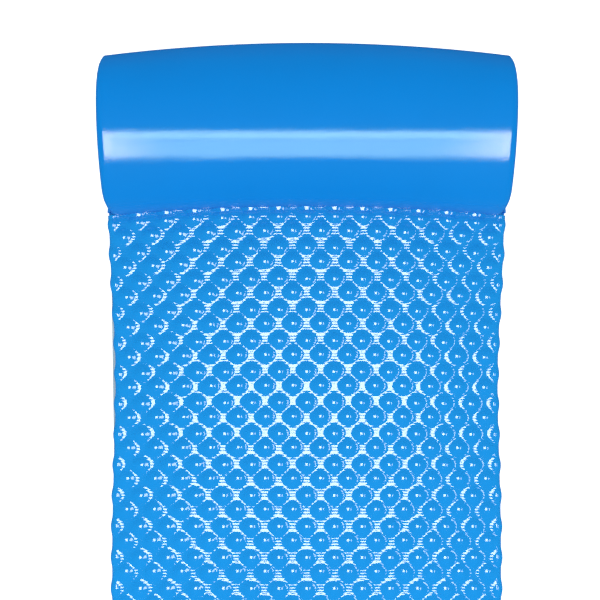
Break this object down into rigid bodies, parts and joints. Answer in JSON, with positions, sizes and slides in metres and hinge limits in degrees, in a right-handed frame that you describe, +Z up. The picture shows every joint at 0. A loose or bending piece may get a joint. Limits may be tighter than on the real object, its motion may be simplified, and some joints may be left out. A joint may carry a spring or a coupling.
{
  "type": "pool float",
  "caption": "Flat foam pool float with a bubble-embossed lying surface, a smooth underside and a built-in rolled pillow.",
  "frame": {"origin": "on the underside, in the middle of the float's bounding box", "axes": "+Z up off the water, +Y from the foot towards the pillow, +X across to the right as seen in the picture"},
  "size_m": [0.66, 1.778, 0.148],
  "materials": {
    "vinyl_coat": "blue vinyl coat, glossy",
    "foam": "closed-cell foam, matt",
    "core_foam": "closed-cell foam, matt",
    "adhesive": "set contact adhesive"
  },
  "bodies": {
    "root": {"mat_foam": "foam", "pillow_core": "core_foam", "core_bond": "adhesive", "flap_bond": "adhesive", "coat_embossed_face": "vinyl_coat", "coat_underside": "vinyl_coat", "coat_pillow_face": "vinyl_coat", "coat_pillow_end_left": "vinyl_coat", "coat_pillow_end_right": "vinyl_coat", "coat_edge_band": "vinyl_coat"}
  },
  "joints": []
}
